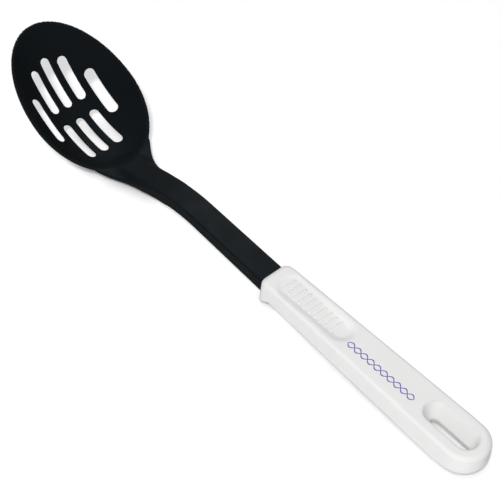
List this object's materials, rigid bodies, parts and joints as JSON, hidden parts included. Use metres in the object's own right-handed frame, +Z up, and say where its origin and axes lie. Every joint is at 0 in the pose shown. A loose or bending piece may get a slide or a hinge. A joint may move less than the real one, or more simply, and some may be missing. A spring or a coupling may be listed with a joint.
{
  "type": "slotted serving spoon",
  "caption": "Slotted serving spoon with a deep oval drain bowl and a bent flat shaft, snapped into a tapered grip with a thumb recess, a finger guard and a hanging slot.",
  "frame": {"origin": "middle of the underside's box, on the table the spoon lies on", "axes": "+X along the spoon towards the tip of the bowl, +Z up from the table, the bowl open upwards"},
  "size_m": [0.3098, 0.0594, 0.0439],
  "materials": {
    "nylon_black": "satin moulded nylon",
    "plastic_white": "satin moulded plastic"
  },
  "bodies": {
    "root": {"spoon": "nylon_black", "grip": "plastic_white"}
  },
  "joints": []
}
